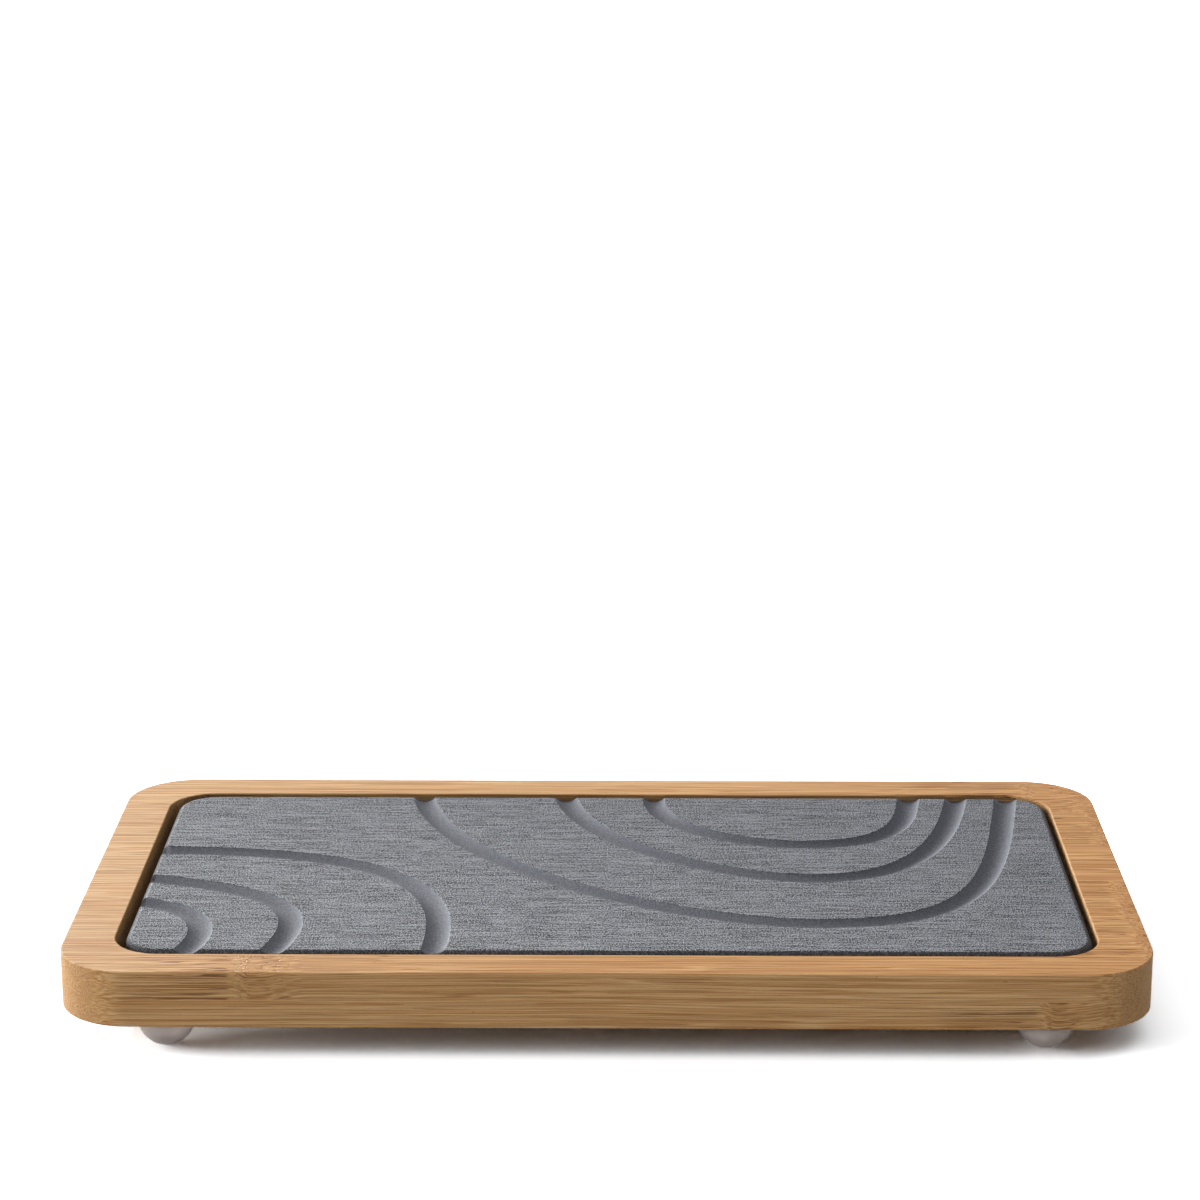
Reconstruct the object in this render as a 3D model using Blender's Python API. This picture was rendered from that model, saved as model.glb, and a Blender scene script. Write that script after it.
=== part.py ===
"""Vanity tray: a drying-stone slab that lifts out of a two-ply bamboo tray on four clear feet.

Metres, +Z up, +X along the tray. The origin is on the table, under the middle of the tray.
"""
import math

import bmesh
import bpy
from mathutils import Vector

# Bamboo tray
tray_length = 0.2500
tray_width = 0.1335
tray_corner_radius = 0.0168
end_rim_width = 0.0117
side_rim_width = 0.01125
pocket_corner_radius = 0.0112
floor_thickness = 0.0038
board_edge_radius = 0.0003
glue_line = 0.0001

# Stone slab, loose in the pocket
slab_thickness = 0.0090
slab_recess = 0.0002
slab_clearance = 0.0018
slab_rest_shift_right = 0.0005
slab_rest_shift_back = 0.0004
slab_edge_radius = 0.0013
slab_bottom_chamfer = 0.0005
seat_gap = 0.0003

# Drain grooves, cut with a ball-nosed cutter and open at the slab's edges
groove_ball_radius = 0.0040
groove_depth = 0.0012
cut_overrun = 0.0020

# Clear hemispherical feet, each on a film of adhesive
foot_radius = 0.00655
foot_contact_radius = 0.0010
foot_end_margin = 0.0185
foot_side_margin = 0.0010
adhesive_radius = 0.0060
adhesive_thickness = 0.0002

# Facets
corner_steps = 12
edge_steps = 2
slab_edge_steps = 3
groove_steps = 20
ball_resolution = 14
foot_arc_steps = 7
foot_turn_steps = 28
weld_distance = 0.00001
sharp_angle = math.radians(35)
level_cosine = 0.9
upright_cosine = 0.1

# Each groove is a Bezier path: anchor, handle, handle, anchor and so on, as shares of the
# slab's half length and half width from its centre. A share of 1 lies on the slab's edge.
corner_ripple_shares = {
    "groove_corner_large": ((-1, 0.236), (-0.548, 0.226), (-0.314, -0.091), (-0.360, -1)),
    "groove_corner_middle": ((-1, -0.129), (-0.739, -0.273), (-0.607, -0.466), (-0.690, -1)),
    "groove_corner_small": ((-1, -0.429), (-0.879, -0.492), (-0.816, -0.700), (-0.868, -1)),
}
hanging_ripple_shares = {
    "groove_bow_large": (
        (-0.437, 1), (-0.367, -0.022), (0.163, -0.662), (0.436, -0.662),
        (0.808, -0.662), (0.842, -0.095), (0.919, 1)),
    "groove_bow_middle": (
        (-0.107, 1), (-0.051, 0.226), (0.299, -0.107), (0.429, -0.107),
        (0.589, -0.107), (0.739, 0.055), (0.803, 1)),
    "groove_bow_small": (
        (0.099, 1), (0.093, 0.468), (0.347, 0.334), (0.421, 0.334),
        (0.676, 0.334), (0.673, 0.736), (0.694, 1)),
}

# Sizes that follow
pocket_length = tray_length - 2 * end_rim_width
pocket_width = tray_width - 2 * side_rim_width
pocket_depth = seat_gap + slab_thickness + slab_recess
slab_length = pocket_length - 2 * slab_clearance
slab_width = pocket_width - 2 * slab_clearance
slab_corner_radius = pocket_corner_radius - slab_clearance
board_thickness = floor_thickness + pocket_depth
ply_thickness = (board_thickness - glue_line) / 2
foot_height = math.sqrt(foot_radius ** 2 - foot_contact_radius ** 2)

# Levels above the table
adhesive_level = foot_height + glue_line
board_level = adhesive_level + adhesive_thickness + glue_line
rim_level = board_level + ply_thickness + glue_line
pocket_floor_level = board_level + floor_thickness
slab_level = pocket_floor_level + seat_gap

# Foot centres
foot_x = tray_length / 2 - foot_end_margin - foot_radius
foot_y = tray_width / 2 - foot_side_margin - foot_radius


def clear_scene():
    for old in list(bpy.data.objects):
        bpy.data.objects.remove(old, do_unlink=True)


def finish(name, colour, roughness, transmission=0):
    """A plain Principled finish. Nothing on this tray is metal."""
    material = bpy.data.materials.new(name)
    material.use_nodes = True
    shader = material.node_tree.nodes["Principled BSDF"]
    shader.inputs["Base Color"].default_value = (*colour, 1)
    shader.inputs["Roughness"].default_value = roughness
    shader.inputs["Metallic"].default_value = 0
    shader.inputs["Transmission Weight"].default_value = transmission
    material.diffuse_color = (*colour, 1)
    return material


def frame_empty(name, location):
    """An empty that carries the pieces of one body."""
    empty = bpy.data.objects.new(name, None)
    empty.location = location
    bpy.context.collection.objects.link(empty)
    return empty


def place(name, bm, material, parent=None, location=(0, 0, 0)):
    """Turn a bmesh into a named, shaded object at a place in its parent's frame."""
    bmesh.ops.recalc_face_normals(bm, faces=bm.faces)
    mesh = bpy.data.meshes.new(name)
    bm.to_mesh(mesh)
    bm.free()
    mesh.shade_smooth()
    mesh.set_sharp_from_angle(angle=sharp_angle)
    mesh.materials.append(material)
    piece = bpy.data.objects.new(name, mesh)
    piece.parent = parent
    piece.location = location
    bpy.context.collection.objects.link(piece)
    return piece


def rounded_plate(length, width, thickness, corner_radius):
    """A flat plate on z = 0 with its four upright corners rounded."""
    bm = bmesh.new()
    bmesh.ops.create_cube(bm, size=1)
    bmesh.ops.scale(bm, vec=(length, width, thickness), verts=bm.verts)
    bmesh.ops.translate(bm, vec=(0, 0, thickness / 2), verts=bm.verts)
    corners = [edge for edge in bm.edges
               if abs((edge.verts[0].co - edge.verts[1].co).normalized().z) > level_cosine]
    bmesh.ops.bevel(bm, geom=corners, offset=corner_radius, offset_type='OFFSET',
                    segments=corner_steps, profile=0.5, affect='EDGES', material=-1)
    return bm


def soften_rim(bm, facing, radius, steps):
    """Round every edge where a level face that looks along facing meets an upright wall."""
    rim = []
    for edge in bm.edges:
        leans = sorted(face.normal.dot(facing) for face in edge.link_faces)
        if leans[-1] > level_cosine and abs(leans[0]) < upright_cosine:
            rim.append(edge)
    bmesh.ops.bevel(bm, geom=rim, offset=radius, offset_type='OFFSET',
                    segments=steps, profile=0.5, affect='EDGES', material=-1)


def cut(bm, cutter_bm):
    """Return bm with cutter_bm taken away by an exact Boolean."""
    pair = []
    for part_name, shape in (("blank", bm), ("cutter", cutter_bm)):
        bmesh.ops.recalc_face_normals(shape, faces=shape.faces)
        mesh = bpy.data.meshes.new(part_name)
        shape.to_mesh(mesh)
        shape.free()
        holder = bpy.data.objects.new(part_name, mesh)
        bpy.context.collection.objects.link(holder)
        pair.append(holder)
    blank, cutter = pair
    boolean = blank.modifiers.new("cut", 'BOOLEAN')
    boolean.operation = 'DIFFERENCE'
    boolean.solver = 'EXACT'
    boolean.object = cutter
    depsgraph = bpy.context.evaluated_depsgraph_get()
    result = bmesh.new()
    result.from_mesh(blank.evaluated_get(depsgraph).data)
    for holder in pair:
        mesh = holder.data
        bpy.data.objects.remove(holder, do_unlink=True)
        bpy.data.meshes.remove(mesh)
    result.normal_update()
    return result


def pocket_cutter(below):
    """The router's path for the pocket: its floor lies below under the plate's own underside."""
    height = board_thickness + cut_overrun
    bm = rounded_plate(pocket_length, pocket_width, height, pocket_corner_radius)
    bmesh.ops.translate(bm, vec=(0, 0, -below), verts=bm.verts)
    return bm


def make_base_ply(tray, bamboo):
    bm = rounded_plate(tray_length, tray_width, ply_thickness, tray_corner_radius)
    soften_rim(bm, Vector((0, 0, -1)), board_edge_radius, edge_steps)
    bm = cut(bm, pocket_cutter(board_level - pocket_floor_level))
    place("base_ply", bm, bamboo, tray, (0, 0, board_level))


def make_rim_ply(tray, bamboo):
    bm = rounded_plate(tray_length, tray_width, ply_thickness, tray_corner_radius)
    bm = cut(bm, pocket_cutter(rim_level - pocket_floor_level))
    soften_rim(bm, Vector((0, 0, 1)), board_edge_radius, edge_steps)
    place("rim_ply", bm, bamboo, tray, (0, 0, rim_level))


def groove_cutter(name, path_shares):
    """The ball cutter swept along one Bezier path, run out past the slab's edges."""
    points = [Vector((x_share * slab_length / 2, y_share * slab_width / 2, 0))
              for x_share, y_share in path_shares]
    entry = (points[0] - points[1]).normalized() * cut_overrun
    leave = (points[-1] - points[-2]).normalized() * cut_overrun
    run_in = [points[0] + entry * share for share in (1, 2 / 3, 1 / 3)]
    run_out = [points[-1] + leave * share for share in (1 / 3, 2 / 3, 1)]
    points = run_in + points + run_out

    curve = bpy.data.curves.new(name, 'CURVE')
    curve.dimensions = '3D'
    curve.fill_mode = 'FULL'
    curve.twist_mode = 'Z_UP'
    curve.resolution_u = groove_steps
    curve.bevel_depth = groove_ball_radius
    curve.bevel_resolution = ball_resolution
    curve.use_fill_caps = True
    spline = curve.splines.new('BEZIER')
    anchors = points[0::3]
    spline.bezier_points.add(len(anchors) - 1)
    for number, (knot, anchor) in enumerate(zip(spline.bezier_points, anchors)):
        before = max(3 * number - 1, 0)
        after = min(3 * number + 1, len(points) - 1)
        knot.co = anchor
        knot.handle_left_type = 'FREE'
        knot.handle_right_type = 'FREE'
        knot.handle_left = points[before]
        knot.handle_right = points[after]

    sweep = bpy.data.objects.new(name, curve)
    bpy.context.collection.objects.link(sweep)
    depsgraph = bpy.context.evaluated_depsgraph_get()
    mesh = bpy.data.meshes.new_from_object(sweep.evaluated_get(depsgraph))
    bm = bmesh.new()
    bm.from_mesh(mesh)
    bpy.data.meshes.remove(mesh)
    bpy.data.objects.remove(sweep, do_unlink=True)
    bpy.data.curves.remove(curve)
    bmesh.ops.remove_doubles(bm, verts=bm.verts, dist=weld_distance)
    ball_level = slab_thickness - groove_depth + groove_ball_radius
    bmesh.ops.translate(bm, vec=(0, 0, ball_level), verts=bm.verts)
    return bm


def make_stone_slab(lift, stone):
    bm = rounded_plate(slab_length, slab_width, slab_thickness, slab_corner_radius)
    soften_rim(bm, Vector((0, 0, 1)), slab_edge_radius, slab_edge_steps)
    soften_rim(bm, Vector((0, 0, -1)), slab_bottom_chamfer, 1)
    for name, path_shares in {**corner_ripple_shares, **hanging_ripple_shares}.items():
        bm = cut(bm, groove_cutter(name, path_shares))
    place("stone_slab", bm, stone, lift)


def dome():
    """A hemisphere that bulges down, with the small flat that it stands on at z = 0."""
    first_angle = math.asin(foot_contact_radius / foot_radius)
    profile = [(0, 0)]
    for step in range(foot_arc_steps + 1):
        angle = first_angle + (math.pi / 2 - first_angle) * step / foot_arc_steps
        profile.append((foot_radius * math.sin(angle), foot_height - foot_radius * math.cos(angle)))
    profile.append((0, foot_height))
    bm = bmesh.new()
    verts = [bm.verts.new((reach, 0, height)) for reach, height in profile]
    edges = [bm.edges.new(pair) for pair in zip(verts, verts[1:])]
    bmesh.ops.spin(bm, geom=verts + edges, cent=(0, 0, 0), axis=(0, 0, 1), angle=2 * math.pi,
                   steps=foot_turn_steps, use_merge=True)
    bmesh.ops.remove_doubles(bm, verts=bm.verts, dist=weld_distance)
    return bm


def adhesive_film():
    bm = bmesh.new()
    bmesh.ops.create_cone(bm, cap_ends=True, segments=foot_turn_steps, radius1=adhesive_radius,
                          radius2=adhesive_radius, depth=adhesive_thickness)
    bmesh.ops.translate(bm, vec=(0, 0, adhesive_thickness / 2), verts=bm.verts)
    return bm


def make_feet(tray, rubber, adhesive):
    for end_name, end in (("left", -1), ("right", 1)):
        for side_name, side in (("front", -1), ("back", 1)):
            corner = f"{side_name}_{end_name}"
            spot = Vector((end * foot_x, side * foot_y, 0))
            place(f"foot_{corner}", dome(), rubber, tray, spot)
            film_spot = spot + Vector((0, 0, adhesive_level))
            place(f"adhesive_{corner}", adhesive_film(), adhesive, tray, film_spot)


def main():
    clear_scene()
    bamboo = finish("bamboo", (0.62, 0.38, 0.19), 0.55)
    stone = finish("drying_stone", (0.20, 0.21, 0.23), 0.85)
    rubber = finish("clear_rubber", (0.72, 0.70, 0.68), 0.15, transmission=0.8)
    adhesive = finish("adhesive", (0.80, 0.79, 0.76), 0.40)

    tray = frame_empty("tray", (0, 0, 0))
    lift = frame_empty("slab_lift", (slab_rest_shift_right, slab_rest_shift_back, slab_level))
    make_base_ply(tray, bamboo)
    make_rim_ply(tray, bamboo)
    make_stone_slab(lift, stone)
    make_feet(tray, rubber, adhesive)


main()
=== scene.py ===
# Looks of the makeup organizer: a bamboo tray with a grooved drying stone, on four clear bumpers.
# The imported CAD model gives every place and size. Lengths are metres, and places inside materials
# millimetres.

import math

import bmesh
import bpy
from mathutils import Matrix, Vector


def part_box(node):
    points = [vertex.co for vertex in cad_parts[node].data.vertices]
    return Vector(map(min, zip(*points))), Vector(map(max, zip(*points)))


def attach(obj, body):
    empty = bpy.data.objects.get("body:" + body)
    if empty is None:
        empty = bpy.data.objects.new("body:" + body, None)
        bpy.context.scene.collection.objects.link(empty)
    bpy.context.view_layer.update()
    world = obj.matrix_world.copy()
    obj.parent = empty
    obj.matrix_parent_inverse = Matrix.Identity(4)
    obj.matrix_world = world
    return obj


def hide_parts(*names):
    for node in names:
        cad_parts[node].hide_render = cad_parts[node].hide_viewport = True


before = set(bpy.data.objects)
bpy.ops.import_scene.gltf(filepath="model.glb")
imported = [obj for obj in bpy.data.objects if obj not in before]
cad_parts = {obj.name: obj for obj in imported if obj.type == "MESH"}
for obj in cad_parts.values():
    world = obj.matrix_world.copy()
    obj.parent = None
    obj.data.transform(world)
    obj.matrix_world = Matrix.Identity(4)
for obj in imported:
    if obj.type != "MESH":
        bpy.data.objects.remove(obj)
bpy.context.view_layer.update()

scene = bpy.context.scene
scene.view_settings.view_transform = "Standard"


# Pieces: small tools that the modelling below shares

shared = {
    "tolerance": 1e-6,        # points closer than this are at one place
    "flatNormal": 0.5,        # a face whose normal stands up less than this is a wall
    "sharpAngle": 0.9,        # radians between two faces from which their edge stays crisp
    "areaWeight": 100,        # how far large faces decide the shading round them
}


def bevelEdges(bm, edges, radius, steps):
    bmesh.ops.bevel(
        bm, geom=edges, offset=radius, offset_type="OFFSET", affect="EDGES",
        segments=steps, profile=0.5, material=-1, clamp_overlap=False,
    )


def roundedBlock(low, high, cornerRadius, steps):
    bm = bmesh.new()
    bmesh.ops.create_cube(bm, size=1.0)
    bmesh.ops.scale(bm, vec=high - low, verts=bm.verts)
    bmesh.ops.translate(bm, vec=(low + high) / 2, verts=bm.verts)
    uprights = [e for e in bm.edges
                if abs(e.verts[0].co.z - e.verts[1].co.z) > shared["tolerance"]]
    bevelEdges(bm, uprights, cornerRadius, steps)
    bm.normal_update()
    return bm


def isLevel(verts, level):
    return all(abs(v.co.z - level) < shared["tolerance"] for v in verts)


def levelEdges(bm, level):
    # the edges at one height where a wall meets a flat face
    found = []
    for edge in bm.edges:
        if len(edge.link_faces) == 2 and isLevel(edge.verts, level):
            steepest, flattest = sorted(abs(f.normal.z) for f in edge.link_faces)
            if steepest < shared["flatNormal"] < flattest:
                found.append(edge)
    return found


def shadeEvenly(piece, keepSharp):
    for face in piece.data.polygons:
        face.use_smooth = True
    evenShading = piece.modifiers.new("evenShading", "WEIGHTED_NORMAL")
    evenShading.weight = shared["areaWeight"]
    evenShading.keep_sharp = keepSharp


def makePiece(name, bm, finish, body, replaced):
    bmesh.ops.recalc_face_normals(bm, faces=bm.faces)
    for edge in bm.edges:
        edge.smooth = edge.calc_face_angle(0.0) < shared["sharpAngle"]
    mesh = bpy.data.meshes.new(name)
    bm.to_mesh(mesh)
    bm.free()
    piece = bpy.data.objects.new(name, mesh)
    scene.collection.objects.link(piece)
    mesh.materials.append(finish)
    shadeEvenly(piece, True)
    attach(piece, body)
    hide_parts(*replaced)
    return piece


# Materials: short ways to add a node and to join it up

perMetre = 1000.0             # millimetres


def addNode(tree, kind, inputs=None, **settings):
    made = tree.nodes.new("ShaderNode" + kind)
    for key, value in settings.items():
        setattr(made, key, value)
    for key, value in (inputs or {}).items():
        fillSocket(tree, made.inputs[key], value)
    return made


def fillSocket(tree, socket, value):
    # joins up another node's output, or sets a plain number or colour
    if isinstance(value, bpy.types.NodeSocket):
        tree.links.new(value, socket)
    else:
        socket.default_value = value


def maths(tree, operation, a, b=0.0, c=0.0):
    return addNode(tree, "Math", {0: a, 1: b, 2: c}, operation=operation).outputs[0]


def times(tree, product, *factors):
    for factor in factors:
        product = maths(tree, "MULTIPLY", product, factor)
    return product


def vectorMaths(tree, operation, a, b):
    return addNode(tree, "VectorMath", {0: a, 1: b}, operation=operation).outputs[0]


def stretch(tree, value, start, end, low=0.0, high=1.0):
    # a smooth step from low to high as the value goes from start to end
    return addNode(tree, "MapRange", {0: value, 1: start, 2: end, 3: low, 4: high},
                   interpolation_type="SMOOTHSTEP").outputs[0]


def noiseField(tree, place, perMillimetre, detail, output="Fac"):
    scaled = vectorMaths(tree, "MULTIPLY", place, perMillimetre)
    return addNode(tree, "TexNoise", {
        "Vector": scaled, "Scale": 1.0, "Detail": detail}).outputs[output]


def thinLines(tree, field, halfWidth):
    # thin lines where a noise field passes through its middle
    away = maths(tree, "ABSOLUTE", maths(tree, "SUBTRACT", field, 0.5))
    return stretch(tree, away, 0.0, halfWidth, 1.0, 0.0)


def blendColour(tree, share, first, second, way="MIX"):
    mixer = tree.nodes.new("ShaderNodeMix")
    mixer.data_type = "RGBA"
    mixer.blend_type = way
    for index, value in ((0, share), (6, first), (7, second)):    # the colour sockets of this node
        fillSocket(tree, mixer.inputs[index], value)
    return mixer.outputs[2]


def bump(tree, height, distance, strength=1.0, under=None):
    inputs = {"Strength": strength, "Distance": distance, "Height": height}
    if under is not None:
        inputs["Normal"] = under
    return addNode(tree, "Bump", inputs).outputs[0]


def newMaterial(name):
    material = bpy.data.materials.new(name)
    material.use_nodes = True
    tree = material.node_tree
    shader = tree.nodes["Principled BSDF"].inputs
    place = addNode(tree, "TexCoord").outputs["Object"]
    millimetres = vectorMaths(tree, "MULTIPLY", place, (perMetre, perMetre, perMetre))
    return material, tree, shader, millimetres


# Bamboo: strips of long fibres along X, crossed by knuckles

bambooLooks = {
    "pale": (0.750, 0.445, 0.195, 1.0),
    "honey": (0.625, 0.330, 0.128, 1.0),
    "fibre": (0.340, 0.140, 0.042, 1.0),
    "streak": (0.210, 0.080, 0.026, 1.0),
    "shine": (0.860, 0.600, 0.320, 1.0),
    "endPale": (0.540, 0.310, 0.135, 1.0),
    "endGrain": (0.390, 0.210, 0.092, 1.0),
    # painted shade: the next tint darkens the top towards the front right, away from the light
    "paintedShadeTint": (0.84, 0.75, 0.64, 1.0),       # multiplies the top, more to the front right
    "paintedShadeSlope": (0.0036, -0.0035),          # along and across
    "roughness": 0.46,
    "duller": 0.12,                          # roughness added in dark lines and on cut ends
    "gloss": 0.10,
    "relief": 0.00012,                       # metres
    "reliefStrength": 0.9,
    "stripWidth": 24.9,
    "stripJump": (900.0, 310.0),             # how far apart two strips' grain is, along and up
    "otherPlace": (37.0, 11.3, 5.9),         # a second place in the grain, for marks of their own
    "driftBy": (0.0, 1.4, 1.4),              # along, across and up
    "swerveBy": (0.0, 0.8, 0.8),
    "sagBy": (0.0, 1.1, 1.1),
    "noise": {                               # waves per millimetre along, across and up; detail
        "drift": ((0.016, 0.09, 0.09), 1.0),
        "swerve": ((0.10, 0.14, 0.18), 0.0),
        "bands": ((0.0045, 0.70, 1.40), 1.0),
        "lines": ((0.0090, 1.70, 3.50), 0.0),
        "dashes": ((0.040, 2.70, 3.00), 0.0),
        "breaks": ((0.045, 0.70, 1.30), 1.0),
        "darkLines": ((0.0070, 0.95, 1.80), 0.0),
        "lightLines": ((0.0120, 0.90, 2.00), 0.0),
        "strokes": ((0.018, 0.85, 1.60), 0.0),
        "strokeBreaks": ((0.08, 0.70, 1.20), 1.0),
        "pits": ((0.55, 1.5, 1.5), 1.0),
        "pores": ((3.0, 3.0, 2.6), 0.0),
    },
    "halfWidth": {"darkLines": 0.050, "lightLines": 0.060, "strokes": 0.055},
    "fade": {                                # the values between which each mark comes in
        "seam": (0.011, 0.004),
        "bands": (0.30, 0.70),
        "lines": (0.50, 0.62),
        "paleLines": (0.46, 0.36),
        "dashes": (0.52, 0.62),
        "darkBreaks": (0.46, 0.54),
        "lightBreaks": (0.54, 0.46),
        "strokeBreaks": (0.42, 0.50),
        "pits": (0.76, 0.80),
        "pores": (0.44, 0.70),
        "cutEnd": (0.28, 0.62),
        "paintedTopShade": (-0.5, 0.5),
        "top": (0.3, 0.8),
    },
    "share": {                               # how much of its colour each mark lays over the rest
        "bands": (0.18, 0.66),               # of honey, in the palest and in the deepest band
        "lines": 0.38,
        "paleLines": 0.35,
        "dashes": 0.40,
        "darkLines": 0.55,
        "lightLines": 0.50,
        "strokes": 0.85,
        "pits": 0.45,
        "seam": 0.15,
        "cutEnd": 0.85,
    },
    "rise": {                                # how each mark stands up or sinks, of the relief
        "lightLines": 0.5,
        "darkLines": -0.6,
        "lines": -0.8,
        "strokes": -1.4,
        "seam": -0.5,
        "pores": -0.7,
    },
}

knuckleLooks = {
    "sameStrip": 0.4,                        # strips are whole numbers, so any part of 1 will do
    "wander": 4.0,                           # how far a knuckle's line strays along the fibres
    "wanderNoise": ((0.0, 0.15, 0.25), 1.0),
    "strokesStart": (-2.6, -1.6),            # in reaches from the knuckle
    "strokesEnd": (-2.2, -0.8),              # in millimetres from it
    "sagStart": (-0.8, 3.6),                 # in millimetres
    "sagEnd": (0.3, 1.5),                    # in reaches
}


def knuckleMasks(tree, place, along, strip, knuckles):
    # where dark strokes show, before and after each knuckle, and where the grain sags after it
    looks = knuckleLooks
    stray = noiseField(tree, place, *looks["wanderNoise"])
    stray = times(tree, maths(tree, "SUBTRACT", stray, 0.5), looks["wander"])
    before, sag = 0.0, 0.0
    for knuckleStrip, knucklePlace, reach in knuckles:
        inStrip = maths(tree, "COMPARE", strip, knuckleStrip, looks["sameStrip"])
        past = maths(tree, "ADD", maths(tree, "SUBTRACT", along, knucklePlace), stray)
        strokesIn = stretch(tree, past, *(end * reach for end in looks["strokesStart"]))
        strokesOut = stretch(tree, past, *looks["strokesEnd"], 1.0, 0.0)
        sagIn = stretch(tree, past, *looks["sagStart"])
        sagOut = stretch(tree, past, *(end * reach for end in looks["sagEnd"]), 1.0, 0.0)
        before = maths(tree, "MAXIMUM", before, times(tree, strokesIn, strokesOut, inStrip))
        sag = maths(tree, "MAXIMUM", sag, times(tree, sagIn, sagOut, inStrip))
    return maths(tree, "MAXIMUM", before, sag), sag


def fibrePlace(tree, place, sag, chance):
    # fibres run straight, drift a little, swerve after a knuckle, and differ from strip to strip
    looks = bambooLooks
    moves = []
    for kind in ("drift", "swerve"):
        field = noiseField(tree, place, *looks["noise"][kind], "Color")
        centred = vectorMaths(tree, "SUBTRACT", field, (0.5, 0.5, 0.5))
        moves.append(vectorMaths(tree, "MULTIPLY", centred, looks[kind + "By"]))
    drift, swerve = moves
    swerve = vectorMaths(tree, "ADD", swerve, looks["sagBy"])
    swerve = addNode(tree, "VectorMath", {0: swerve, "Scale": sag}, operation="SCALE").outputs[0]
    jumpAlong, jumpUp = looks["stripJump"]
    jump = addNode(tree, "CombineXYZ", {
        "X": times(tree, chance, jumpAlong), "Z": times(tree, chance, jumpUp)}).outputs[0]
    return vectorMaths(tree, "ADD", vectorMaths(tree, "ADD", place, drift),
                       vectorMaths(tree, "ADD", swerve, jump))


def bambooFinish(name, strips):
    looks = bambooLooks
    noise, fade, share, rise = looks["noise"], looks["fade"], looks["share"], looks["rise"]
    material, tree, shader, place = newMaterial(name)
    parts = addNode(tree, "SeparateXYZ", {0: place}).outputs
    along, across = parts["X"], parts["Y"]

    # which strip a point is in, and one random number for each strip
    stripShare = maths(tree, "DIVIDE", maths(tree, "SUBTRACT", across, strips["seam"]),
                       looks["stripWidth"])
    strip = maths(tree, "FLOOR", stripShare)
    chance = addNode(tree, "TexWhiteNoise", {"W": maths(tree, "ADD", strip, strips["seed"])},
                     noise_dimensions="1D").outputs["Value"]
    fromSeam = maths(tree, "SUBTRACT", maths(tree, "FRACT", maths(
        tree, "ADD", stripShare, 0.5)), 0.5)
    seam = stretch(tree, maths(tree, "ABSOLUTE", fromSeam), *fade["seam"])

    near, sag = knuckleMasks(tree, place, along, strip, strips["knuckles"])
    grain = fibrePlace(tree, place, sag, chance)
    other = vectorMaths(tree, "ADD", grain, looks["otherPlace"])

    # marks: broad bands, fine lines, short dashes, and longer lines with breaks in them
    bands = noiseField(tree, grain, *noise["bands"])
    lines = noiseField(tree, grain, *noise["lines"])
    dashes = noiseField(tree, other, *noise["dashes"])
    breaks = noiseField(tree, other, *noise["breaks"])
    strokeBreaks = noiseField(tree, grain, *noise["strokeBreaks"])
    longMarks = {}
    for kind, where in (("darkLines", grain), ("lightLines", other), ("strokes", other)):
        field = noiseField(tree, where, *noise[kind])
        longMarks[kind] = thinLines(tree, field, looks["halfWidth"][kind])
    darkLines = times(tree, longMarks["darkLines"], stretch(tree, breaks, *fade["darkBreaks"]))
    lightLines = times(tree, longMarks["lightLines"], stretch(tree, breaks, *fade["lightBreaks"]))
    strokes = times(tree, longMarks["strokes"],
                    stretch(tree, strokeBreaks, *fade["strokeBreaks"]), near)
    pits = stretch(tree, noiseField(tree, grain, *noise["pits"]), *fade["pits"])
    straight = maths(tree, "SUBTRACT", 1.0, sag)

    def laid(field, kind):
        return stretch(tree, field, *fade[kind], 0.0, share[kind])

    deep = stretch(tree, bands, *fade["bands"], *share["bands"])
    colour = blendColour(tree, deep, looks["pale"], looks["honey"])
    for mask, shade in (
        (laid(lines, "lines"), "fibre"),
        (times(tree, laid(lines, "paleLines"), straight), "shine"),
        (laid(dashes, "dashes"), "fibre"),
        (times(tree, darkLines, share["darkLines"]), "fibre"),
        (times(tree, lightLines, share["lightLines"], straight), "shine"),
        (times(tree, strokes, share["strokes"]), "streak"),
        (times(tree, pits, share["pits"]), "streak"),
        (times(tree, seam, share["seam"]), "fibre"),
    ):
        colour = blendColour(tree, mask, colour, looks[shade])

    # cut ends of the fibres are duller than their sides, with fine pores
    normal = addNode(tree, "NewGeometry").outputs["Normal"]
    facing = addNode(tree, "SeparateXYZ", {0: normal}).outputs
    cutEnd = stretch(tree, maths(tree, "ABSOLUTE", facing["X"]), *fade["cutEnd"])
    pores = stretch(tree, noiseField(tree, place, *noise["pores"]), *fade["pores"])
    endColour = blendColour(tree, pores, looks["endPale"], looks["endGrain"])
    colour = blendColour(tree, times(tree, cutEnd, share["cutEnd"]), colour, endColour)

    # painted shade: the top is warmer and darker towards the front right, away from the light
    slopeAlong, slopeAcross = looks["paintedShadeSlope"]
    slope = maths(tree, "MULTIPLY_ADD", along, slopeAlong, times(tree, across, slopeAcross))
    onTop = stretch(tree, facing["Z"], *fade["top"])
    paintedTopShade = times(tree, stretch(tree, slope, *fade["paintedTopShade"]), onTop)
    colour = blendColour(tree, paintedTopShade, colour, looks["paintedShadeTint"], "MULTIPLY")

    rough = maths(tree, "MULTIPLY_ADD", maths(tree, "ADD", darkLines, cutEnd), looks["duller"],
                  looks["roughness"])
    height = times(tree, lightLines, rise["lightLines"])
    for field, kind in ((darkLines, "darkLines"), (lines, "lines"), (strokes, "strokes"),
                        (seam, "seam"), (times(tree, pores, cutEnd), "pores")):
        height = maths(tree, "MULTIPLY_ADD", field, rise[kind], height)

    shader["Specular IOR Level"].default_value = looks["gloss"]
    tree.links.new(colour, shader["Base Color"])
    tree.links.new(rough, shader["Roughness"])
    tree.links.new(bump(tree, height, looks["relief"], looks["reliefStrength"]), shader["Normal"])
    return material


# Drying stone: brushed top, sandy grooves and edges, painted shade at the rim and back right

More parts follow.
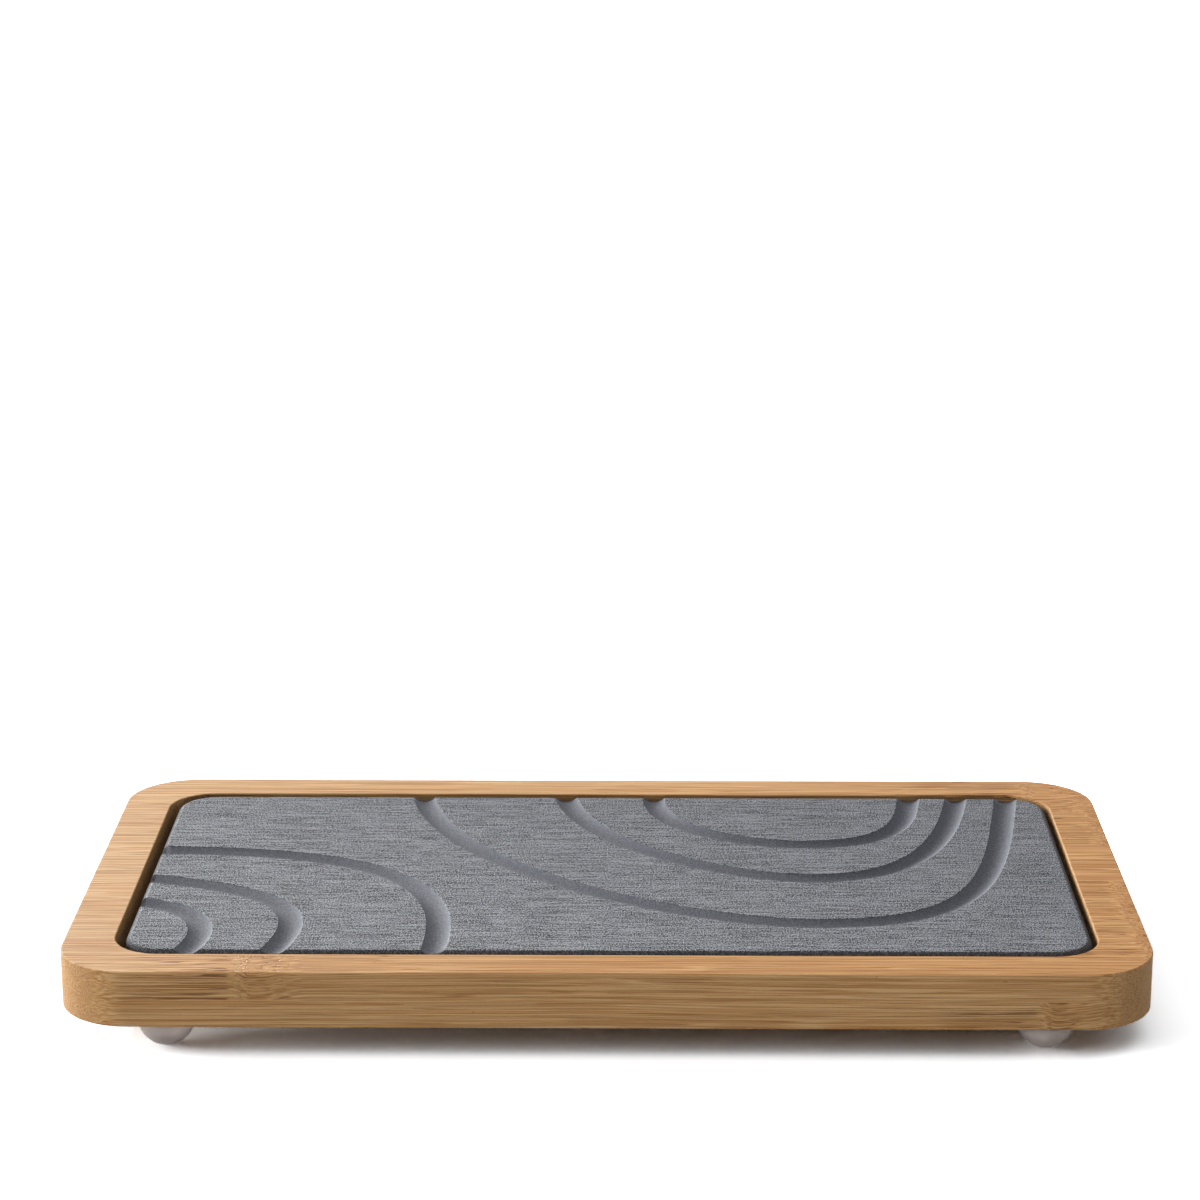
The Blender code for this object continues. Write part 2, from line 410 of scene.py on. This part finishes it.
stoneLooks = {
    "stone": (0.118, 0.125, 0.143, 1.0),
    "groove": (0.162, 0.169, 0.192, 1.0),
    # painted shade: the edge colour darkens the fillet and sides, which sit in the shaded gap by
    # the rim
    "edge": (0.050, 0.052, 0.060, 1.0),
    "darkStreak": (0.028, 0.031, 0.037, 1.0),
    "lightStreak": (0.345, 0.358, 0.386, 1.0),
    "sand": (0.560, 0.572, 0.592, 1.0),
    # painted shade: the next tint darkens the stone towards the back right, as light falling off
    "paintedFalloffTint": (0.70, 0.70, 0.72, 1.0),       # multiplies all of it, more to the back right
    "paintedFalloffSlope": 1.2,                      # how much faster across than along
    "paintedFalloffReach": (-150.0, 150.0),          # from none of it to all of it
    "roughness": 0.85,
    "edgeRoughness": 0.80,
    "gloss": 0.20,
    "streakRelief": 0.00022,                 # metres
    "sandRelief": 0.00005,
    "topFade": (0.12, 0.01),                 # millimetres under the flat top
    "edgeFade": (1.25, 0.85),                # millimetres inside the outline
    "noise": {                               # waves per millimetre along, across and up; detail
        "longStreaks": ((0.045, 1.70, 0.0), 0.0),
        "shortStreaks": ((0.10, 3.00, 0.0), 0.0),
        "dashes": ((0.26, 2.30, 0.0), 0.0),
        "sand": ((3.0, 2.4, 3.0), 0.0),
    },
    "mix": {"longStreaks": 0.34, "shortStreaks": 0.40, "dashes": 0.26},
    "fade": {                                # the values between which each mark comes in
        "dark": (0.50, 0.44),
        "light": (0.50, 0.56),
        "specks": (0.51, 0.62),
        "pits": (0.49, 0.38),
    },
    "lightShare": 0.80,
    "sandShare": 0.14,                       # specks and pits in the grooves and on the edges
    "sandOnTop": 0.54,                       # added on the flat top
}


def stoneFinish(name, low, high, cornerRadius):
    looks = stoneLooks
    noise, mix, fade = looks["noise"], looks["mix"], looks["fade"]
    material, tree, shader, place = newMaterial(name)
    parts = addNode(tree, "SeparateXYZ", {0: place}).outputs
    flatTop = stretch(tree, parts["Z"], *(high.z * perMetre - under for under in looks["topFade"]))

    # how far out a point is from the corners' centres, for the fillet round the top, which gets
    # painted shade and more roughness
    centre, half = (low + high) / 2 * perMetre, (high - low) / 2 * perMetre
    radius = cornerRadius * perMetre
    squares = []
    for axis, middle, reach in (("X", centre.x, half.x - radius), ("Y", centre.y, half.y - radius)):
        away = maths(tree, "ABSOLUTE", maths(tree, "SUBTRACT", parts[axis], middle))
        beyond = maths(tree, "MAXIMUM", maths(tree, "SUBTRACT", away, reach), 0.0)
        squares.append(times(tree, beyond, beyond))
    fromCorner = maths(tree, "SQRT", maths(tree, "ADD", *squares))
    onEdge = stretch(tree, fromCorner, *(radius - inside for inside in looks["edgeFade"]))

    # brushed streaks on the top, and sand everywhere
    streaks = times(tree, noiseField(tree, place, *noise["shortStreaks"]), mix["shortStreaks"])
    for kind in ("longStreaks", "dashes"):
        field = noiseField(tree, place, *noise[kind])
        streaks = maths(tree, "MULTIPLY_ADD", field, mix[kind], streaks)
    dark = times(tree, stretch(tree, streaks, *fade["dark"]), flatTop)
    light = times(tree, stretch(tree, streaks, *fade["light"]), flatTop)
    sand = noiseField(tree, place, *noise["sand"])
    specks = stretch(tree, sand, *fade["specks"])
    pits = stretch(tree, sand, *fade["pits"])
    sandShare = maths(tree, "MULTIPLY_ADD", flatTop, looks["sandOnTop"], looks["sandShare"])

    # painted shade: the fillet and sides round the outline take the dark edge colour
    colour = blendColour(tree, onEdge, looks["groove"], looks["edge"])
    for mask, shade in (
        (flatTop, "stone"),
        (dark, "darkStreak"),
        (times(tree, light, looks["lightShare"]), "lightStreak"),
        (times(tree, specks, sandShare), "sand"),
        (times(tree, pits, sandShare), "darkStreak"),
    ):
        colour = blendColour(tree, mask, colour, looks[shade])
    # painted shade: the stone gets darker towards the back right
    slope = maths(tree, "MULTIPLY_ADD", parts["Y"], looks["paintedFalloffSlope"], parts["X"])
    colour = blendColour(tree, stretch(tree, slope, *looks["paintedFalloffReach"]), colour,
                         looks["paintedFalloffTint"], "MULTIPLY")
    rough = stretch(tree, onEdge, 0.0, 1.0, looks["roughness"], looks["edgeRoughness"])
    brushed = bump(tree, times(tree, streaks, flatTop), looks["streakRelief"])

    shader["Specular IOR Level"].default_value = looks["gloss"]
    tree.links.new(colour, shader["Base Color"])
    tree.links.new(rough, shader["Roughness"])
    tree.links.new(bump(tree, sand, looks["sandRelief"], under=brushed), shader["Normal"])
    return material


# Bumpers and their adhesive

rubberLooks = {
    "tint": (0.70, 0.62, 0.58, 1.0),
    "haze": (0.62, 0.54, 0.50, 1.0),
    "hazeNoise": ((0.35, 0.35, 0.35), 2.0),
    "hazeRoughness": 0.04,
    "clear": 0.45,
    "ior": 1.35,
    "roughness": 0.40,
    "ripple": 0.00002,                       # metres
    "rippleStrength": 0.4,
}


def rubberFinish(name):
    looks = rubberLooks
    material, tree, shader, place = newMaterial(name)
    haze = noiseField(tree, place, *looks["hazeNoise"])
    rough = maths(tree, "MULTIPLY_ADD", haze, looks["hazeRoughness"], looks["roughness"])
    shader["Transmission Weight"].default_value = looks["clear"]
    shader["IOR"].default_value = looks["ior"]
    tree.links.new(blendColour(tree, haze, looks["tint"], looks["haze"]), shader["Base Color"])
    tree.links.new(rough, shader["Roughness"])
    tree.links.new(bump(tree, haze, looks["ripple"], looks["rippleStrength"]), shader["Normal"])
    return material


adhesiveLooks = {
    "film": (0.66, 0.62, 0.55, 1.0),
    "bubble": (0.50, 0.45, 0.38, 1.0),
    "bubbleNoise": ((0.9, 0.9, 0.9), 3.0),
    "bubbleFade": (0.50, 0.62),
    "bubbleShare": 0.5,
    "bubbleRoughness": -0.15,                # added where the film doesn't touch
    "roughness": 0.5,
}


def adhesiveFinish(name):
    looks = adhesiveLooks
    material, tree, shader, place = newMaterial(name)
    bubbles = stretch(tree, noiseField(tree, place, *looks["bubbleNoise"]), *looks["bubbleFade"])
    colour = blendColour(tree, times(tree, bubbles, looks["bubbleShare"]),
                         looks["film"], looks["bubble"])
    rough = maths(tree, "MULTIPLY_ADD", bubbles, looks["bubbleRoughness"], looks["roughness"])
    tree.links.new(colour, shader["Base Color"])
    tree.links.new(rough, shader["Roughness"])
    return material


# The board: rim ply and base ply, which meet at the glue seam

board = {
    "cornerRadius": 0.0168,
    "cornerSteps": 24,
    "edgeRound": 0.00030,
    "edgeSteps": 4,
    "pocketHalf": (0.1133, 0.0555),
    "pocketRadius": 0.0112,
    "pocketSlack": 0.00001,       # so that the pocket's own walls count as inside it
    "thinnestFloor": 0.001,       # the pocket's floor lies more than this above the underside
    # millimetres: a seam's place across; each knuckle's strip, its place along and its reach
    "rimStrips": {
        "seam": -7.4,
        "seed": 3.0,
        "knuckles": ((-3, -83.0, 11.0), (-2, 122.0, 10.0), (-1, 121.0, 11.0), (1, 122.0, 10.0),
                     (2, 108.0, 13.0), (0, -140.0, 8.0)),
    },
    "baseStrips": {
        "seam": -3.0,
        "seed": 11.0,
        "knuckles": ((-3, 98.0, 10.0), (-3, -150.0, 10.0), (0, -119.0, 10.0), (2, 45.0, 10.0),
                     (1, 20.0, 9.0)),
    },
}

rimLow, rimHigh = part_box("rim_ply")
baseLow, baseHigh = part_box("base_ply")
slabLow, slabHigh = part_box("stone_slab")


def overPocket(place):
    # whether a point lies inside the pocket's outline or on its wall
    return all(abs(place[axis]) < board["pocketHalf"][axis] + board["pocketSlack"]
               for axis in (0, 1))


pocketFloor = min(v.co.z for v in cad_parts["base_ply"].data.vertices
                  if overPocket(v.co) and v.co.z > baseLow.z + board["thinnestFloor"])


def drawIn(verts, low, high):
    # moves a copy of the outer outline onto the pocket's, corner arc to corner arc
    half = (high - low) / 2
    outer, inner = board["cornerRadius"], board["pocketRadius"]
    for v in verts:
        for axis in (0, 1):
            fromArc = (abs(v.co[axis]) - half[axis] + outer) * inner / outer
            drawn = board["pocketHalf"][axis] - inner + fromArc
            v.co[axis] = math.copysign(drawn, v.co[axis])


def extrudeOutline(bm, edges):
    made = bmesh.ops.extrude_edge_only(bm, edges=edges)["geom"]
    return ([g for g in made if isinstance(g, bmesh.types.BMVert)],
            [g for g in made if isinstance(g, bmesh.types.BMEdge) and g.is_boundary])


def boardShell(low, high, floorLevel):
    # a rounded plate whose top is drawn in to the pocket; without a floor level, the pocket
    # goes through
    bm = roundedBlock(low, high, board["cornerRadius"], board["cornerSteps"])
    openLevels = (high.z, low.z) if floorLevel is None else (high.z,)
    lids = [f for level in openLevels for f in bm.faces if isLevel(f.verts, level)]
    bmesh.ops.delete(bm, geom=lids, context="FACES_ONLY")
    outlines = {level: [e for e in bm.edges if e.is_boundary and isLevel(e.verts, level)]
                for level in (low.z, high.z)}
    verts, edges = extrudeOutline(bm, outlines[high.z])
    drawIn(verts, low, high)
    verts, edges = extrudeOutline(bm, edges)
    for v in verts:
        v.co.z = low.z if floorLevel is None else floorLevel
    if floorLevel is None:
        verts, edges = extrudeOutline(bm, outlines[low.z])
        drawIn(verts, low, high)
        bmesh.ops.remove_doubles(bm, verts=bm.verts, dist=shared["tolerance"])
    else:
        bmesh.ops.contextual_create(bm, geom=edges)
    bmesh.ops.recalc_face_normals(bm, faces=bm.faces)
    bm.normal_update()
    return bm


def roundBoard(bm, level, atPocket):
    # rounds the outer edges at one height, or the pocket's
    edges = [e for e in levelEdges(bm, level)
             if overPocket((e.verts[0].co + e.verts[1].co) / 2) == atPocket]
    bevelEdges(bm, edges, board["edgeRound"], board["edgeSteps"])


def makeRim():
    bm = boardShell(rimLow, rimHigh, None)
    roundBoard(bm, rimHigh.z, False)
    roundBoard(bm, rimHigh.z, True)
    finish = bambooFinish("bambooRim", board["rimStrips"])
    makePiece("bambooRim", bm, finish, "tray", ["rim_ply"])


def makeBase():
    seamLevel = Vector((baseHigh.x, baseHigh.y, rimLow.z))    # the glue fills the gap under the rim
    bm = boardShell(baseLow, seamLevel, pocketFloor)
    roundBoard(bm, baseLow.z, False)
    finish = bambooFinish("bambooBase", board["baseStrips"])
    makePiece("bambooBase", bm, finish, "tray", ["base_ply"])


makeRim()
makeBase()
print("board made")


# The stone slab: a filleted plate, cut by six ripples with softened lips

slab = {
    "cornerRadius": 0.0094,
    "cornerSteps": 20,
    "topFillet": 0.0013,
    "filletSteps": 5,
    "bottomChamfer": 0.0005,
    "chamferSteps": 2,
    "grooveRadius": 0.0040,
    "grooveDepth": 0.0012,
    "grooveSteps": 12,
    "lipRadius": 0.0003,
    "lipSlope": 8.0,          # degrees that are left where the lip meets the flat top
    "lipRun": 0.0003,         # how far the cut runs on at that slope, in the air
    "lipSteps": 4,
    "stepsAlong": 64,
    "overrun": 0.0020,
}

# shares of the slab's half length and half width: anchor, handle, handle, anchor and so on
ripples = (
    ((-1, 0.236), (-0.548, 0.226), (-0.314, -0.091), (-0.360, -1)),
    ((-1, -0.129), (-0.739, -0.273), (-0.607, -0.466), (-0.690, -1)),
    ((-1, -0.429), (-0.879, -0.492), (-0.816, -0.700), (-0.868, -1)),
    ((-0.437, 1), (-0.367, -0.022), (0.163, -0.662), (0.436, -0.662),
     (0.808, -0.662), (0.842, -0.095), (0.919, 1)),
    ((-0.107, 1), (-0.051, 0.226), (0.299, -0.107), (0.429, -0.107),
     (0.589, -0.107), (0.739, 0.055), (0.803, 1)),
    ((0.099, 1), (0.093, 0.468), (0.347, 0.334), (0.421, 0.334),
     (0.676, 0.334), (0.673, 0.736), (0.694, 1)),
)


def grooveProfile():
    # half of the groove's section, from its middle to above the top: across, up from the flat top
    radius, depth, lip = slab["grooveRadius"], slab["grooveDepth"], slab["lipRadius"]
    ballUp = radius - depth
    lipAcross = math.sqrt((radius + lip) ** 2 - (ballUp + lip) ** 2)
    join = math.atan2(lipAcross, ballUp + lip)
    last = math.radians(slab["lipSlope"])
    half = []
    for i in range(slab["grooveSteps"] + 1):
        turn = join * i / slab["grooveSteps"]
        half.append((radius * math.sin(turn), ballUp - radius * math.cos(turn)))
    for i in range(1, slab["lipSteps"] + 1):
        turn = join + (last - join) * i / slab["lipSteps"]
        half.append((lipAcross - lip * math.sin(turn), lip * math.cos(turn) - lip))
    across, up = half[-1]
    run = slab["lipRun"]
    half.append((across + run, up + run * math.tan(last)))
    half.append((across + run, up + radius / 2))
    return half


def profileCurve():
    half = grooveProfile()
    points = [(-x, y) for x, y in reversed(half[1:])] + half
    data = bpy.data.curves.new("grooveSection", "CURVE")
    data.dimensions = "2D"
    line = data.splines.new("POLY")
    line.points.add(len(points) - 1)
    for point, (across, up) in zip(line.points, points):
        point.co = (across, up, 0.0, 1.0)
    line.use_cyclic_u = True
    section = bpy.data.objects.new("grooveSection", data)
    scene.collection.objects.link(section)
    return section


def rippleCutter(shares, section):
    centre = (slabLow + slabHigh) / 2
    half = (slabHigh - slabLow) / 2
    points = [Vector((centre.x + u * half.x, centre.y + v * half.y, slabHigh.z)) for u, v in shares]

    # straight on past both ends, with handles at the thirds
    runIn = (points[0] - points[1]).normalized() * slab["overrun"]
    runOut = (points[-1] - points[-2]).normalized() * slab["overrun"]
    start, end = points[0] + runIn, points[-1] + runOut
    points = [start, start - runIn / 3, points[0] + runIn / 3] + points
    points += [points[-1] + runOut / 3, end - runOut / 3, end]

    data = bpy.data.curves.new("ripple", "CURVE")
    data.dimensions = "3D"
    data.twist_mode = "Z_UP"
    data.resolution_u = slab["stepsAlong"]
    path = data.splines.new("BEZIER")
    anchors = points[0::3]
    path.bezier_points.add(len(anchors) - 1)
    for i, (bezier, anchor) in enumerate(zip(path.bezier_points, anchors)):
        bezier.handle_left_type = bezier.handle_right_type = "FREE"
        bezier.co = anchor
        bezier.handle_left = points[i * 3 - 1] if i else anchor
        bezier.handle_right = points[i * 3 + 1] if i * 3 + 1 < len(points) else anchor
    data.bevel_mode = "OBJECT"
    data.bevel_object = section
    data.use_fill_caps = True
    swept = bpy.data.objects.new("ripple", data)
    scene.collection.objects.link(swept)
    return swept


def finishedMesh(item):
    # a curve's or a modifier's result, as a mesh of its own
    bpy.context.view_layer.update()
    evaluated = item.evaluated_get(bpy.context.evaluated_depsgraph_get())
    return bpy.data.meshes.new_from_object(evaluated)


def slabCutter():
    section = profileCurve()
    bm = bmesh.new()
    for shares in ripples:
        swept = rippleCutter(shares, section)
        mesh = finishedMesh(swept)
        bm.from_mesh(mesh)
        bpy.data.objects.remove(swept)
        bpy.data.meshes.remove(mesh)
    bpy.data.objects.remove(section)
    bmesh.ops.remove_doubles(bm, verts=bm.verts, dist=shared["tolerance"])
    bmesh.ops.recalc_face_normals(bm, faces=bm.faces)
    mesh = bpy.data.meshes.new("slabCutter")
    bm.to_mesh(mesh)
    bm.free()
    cutter = bpy.data.objects.new("slabCutter", mesh)
    scene.collection.objects.link(cutter)
    return cutter


def makeSlab():
    bm = roundedBlock(slabLow, slabHigh, slab["cornerRadius"], slab["cornerSteps"])
    bevelEdges(bm, levelEdges(bm, slabHigh.z), slab["topFillet"], slab["filletSteps"])
    bevelEdges(bm, levelEdges(bm, slabLow.z), slab["bottomChamfer"], slab["chamferSteps"])
    finish = stoneFinish("dryingStone", slabLow, slabHigh, slab["cornerRadius"])
    piece = makePiece("stoneSlab", bm, finish, "slab", ["stone_slab"])

    # the grooves are cut before the shading is evened, and shaded again with the rest
    cutter = slabCutter()
    grooves = piece.modifiers.new("grooves", "BOOLEAN")
    grooves.operation = "DIFFERENCE"
    grooves.solver = "EXACT"
    grooves.object = cutter
    piece.modifiers.move(1, 0)
    cut = finishedMesh(piece)
    piece.modifiers.clear()
    piece.data = cut
    shadeEvenly(piece, False)
    bpy.data.objects.remove(cutter)
    print("slab made:", len(cut.polygons), "faces,", len(cut.vertices), "vertices")


makeSlab()


# The four clear bumpers, each a dome on its adhesive film

bumper = {
    "turnSteps": 64,
    "arcSteps": 20,
    "brimRound": 0.00012,
    "brimCut": 0.3,           # how far the rounding's middle is set in, as a share of it
    "filmRound": 0.00005,
}


def turned(name, outline, centre, finish, replaced):
    # spins an outline of (radius, height) pairs round the upright line through the centre
    bm = bmesh.new()
    verts = [bm.verts.new((centre.x + radius, centre.y, height)) for radius, height in outline]
    edges = [bm.edges.new(pair) for pair in zip(verts, verts[1:])]
    bmesh.ops.spin(
        bm, geom=verts + edges, cent=(centre.x, centre.y, 0), axis=(0, 0, 1), dvec=(0, 0, 0),
        angle=2 * math.pi, steps=bumper["turnSteps"], use_merge=True, use_duplicate=False,
    )
    bmesh.ops.remove_doubles(bm, verts=bm.verts, dist=shared["tolerance"])
    makePiece(name, bm, finish, "tray", replaced)


def domeOutline(low, high):
    radius = (high.x - low.x) / 2
    rise = high.z - low.z
    contact = math.acos(min(1.0, rise / radius))    # the flat on the table ends here
    outline = [(0.0, low.z)]
    for i in range(bumper["arcSteps"] + 1):
        turn = contact + (math.pi / 2 - contact) * i / bumper["arcSteps"]
        outline.append((radius * math.sin(turn), high.z - radius * math.cos(turn)))
    brim = bumper["brimRound"]
    cut = brim * bumper["brimCut"]
    outline[-1] = (radius, high.z - brim)
    outline += [(radius - cut, high.z - cut), (radius - brim, high.z), (0.0, high.z)]
    return outline


def filmOutline(low, high):
    radius, edge = (high.x - low.x) / 2, bumper["filmRound"]
    return [(0.0, low.z), (radius - edge, low.z), (radius, low.z + edge),
            (radius, high.z - edge), (radius - edge, high.z), (0.0, high.z)]


clearRubber = rubberFinish("clearRubber")
adhesiveFilm = adhesiveFinish("adhesiveFilm")
for side in ("front", "back"):
    for end in ("left", "right"):
        low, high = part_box(f"foot_{side}_{end}")
        turned(f"bumper_{side}_{end}", domeOutline(low, high), (low + high) / 2, clearRubber,
               [f"foot_{side}_{end}"])
        low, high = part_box(f"adhesive_{side}_{end}")
        turned(f"film_{side}_{end}", filmOutline(low, high), (low + high) / 2, adhesiveFilm,
               [f"adhesive_{side}_{end}"])
print("bumpers made")


# Floor, light and camera

studio = {
    "floorSize": 12.0,
    "floorDrop": 0.00003,
    "floorBounce": 0.18,
    # the photo's white table is overexposed, so its shadow ends early
    "floorShown": (2.62, 2.68, 2.74, 1.0),
    "sky": (1.0, 1.0, 1.0, 1.0),
    "skyStrength": (0.0, 1.0),               # on the object, and shown
    # strength, width and tilt from overhead in degrees, turn from the back in degrees
    "lamps": (
        ("keySoftbox", 3.15, 30.0, 76.0, -68.0),
        ("backSoftbox", 3.10, 20.0, 76.0, -25.0),
        ("leftSoftbox", 0.80, 28.0, 70.0, -108.0),
        ("leftGlow", 0.95, 8.0, 84.0, -94.0),
        ("overheadSoftbox", 0.76, 60.0, 0.0, 0.0),
        ("rightFill", 0.52, 60.0, 45.0, 90.0),
        ("tableGlow", 0.80, 1.0, 89.5, 180.0),
    ),
    "cameraPlace": (0.006463, -0.733057, 0.294471),
    "cameraRight": (0.999938716, 0.0110299617, -0.00095133114),
    "cameraUp": (-0.00206892476, 0.270593537, 0.962691465),
    "cameraBack": (0.010875874, -0.962630499, 0.270599774),
    "lens": 95.835,
    "sensorWidth": 36.0,
    "nearest": 0.01,
    "furthest": 100.0,
}


def shownDirectly(tree):
    # 1 for rays that show the background itself, also in gloss and through clear rubber
    path = addNode(tree, "LightPath").outputs
    seen = maths(tree, "MAXIMUM", path["Is Camera Ray"], path["Is Glossy Ray"])
    return maths(tree, "MAXIMUM", seen, path["Is Transmission Ray"])


def makeFloor():
    bm = bmesh.new()
    bmesh.ops.create_grid(bm, x_segments=1, y_segments=1, size=studio["floorSize"] / 2)
    bmesh.ops.translate(bm, vec=(0, 0, -studio["floorDrop"]), verts=bm.verts)
    mesh = bpy.data.meshes.new("floor")
    bm.to_mesh(mesh)
    bm.free()
    floor = bpy.data.objects.new("floor", mesh)
    scene.collection.objects.link(floor)
    material = bpy.data.materials.new("paleTable")
    material.use_nodes = True
    tree = material.node_tree
    tree.nodes.remove(tree.nodes["Principled BSDF"])
    bounce = addNode(tree, "BsdfDiffuse", {"Color": (studio["floorBounce"],) * 3 + (1.0,)})
    shown = addNode(tree, "BsdfDiffuse", {"Color": studio["floorShown"]})
    above = addNode(tree, "MixShader", {
        0: shownDirectly(tree), 1: bounce.outputs[0], 2: shown.outputs[0]})
    clear = addNode(tree, "BsdfTransparent")         # from below, the floor doesn't show
    under = addNode(tree, "NewGeometry").outputs["Backfacing"]
    final = addNode(tree, "MixShader", {0: under, 1: above.outputs[0], 2: clear.outputs[0]})
    tree.links.new(final.outputs[0], tree.nodes["Material Output"].inputs["Surface"])
    mesh.materials.append(material)


def makeLight():
    world = bpy.data.worlds.new("studio")
    scene.world = world
    world.use_nodes = True
    tree = world.node_tree
    background = tree.nodes["Background"].inputs
    background["Color"].default_value = studio["sky"]
    onObject, shown = studio["skyStrength"]
    strength = addNode(tree, "MapRange", {0: shownDirectly(tree), 3: onObject, 4: shown})
    tree.links.new(strength.outputs[0], background["Strength"])
    for name, power, width, lampTilt, lampTurn in studio["lamps"]:
        lamp = bpy.data.lights.new(name, "SUN")
        lamp.energy = power
        lamp.angle = math.radians(width)
        softbox = bpy.data.objects.new(name, lamp)
        scene.collection.objects.link(softbox)
        tilt, turn = math.radians(lampTilt), math.radians(lampTurn)
        level = math.sin(tilt)
        towards = Vector((math.sin(turn) * level, math.cos(turn) * level, math.cos(tilt)))
        softbox.rotation_mode = "QUATERNION"
        softbox.rotation_quaternion = towards.to_track_quat("Z", "Y")


def makeCamera():
    lens = bpy.data.cameras.new("photoView")
    lens.lens = studio["lens"]
    lens.sensor_width = studio["sensorWidth"]
    lens.clip_start, lens.clip_end = studio["nearest"], studio["furthest"]
    camera = bpy.data.objects.new("photoView", lens)
    scene.collection.objects.link(camera)
    turn = Matrix((studio["cameraRight"], studio["cameraUp"], studio["cameraBack"])).transposed()
    camera.matrix_world = Matrix.Translation(studio["cameraPlace"]) @ turn.to_4x4()
    scene.camera = camera


makeFloor()
makeLight()
makeCamera()
print("floor, light and camera made")
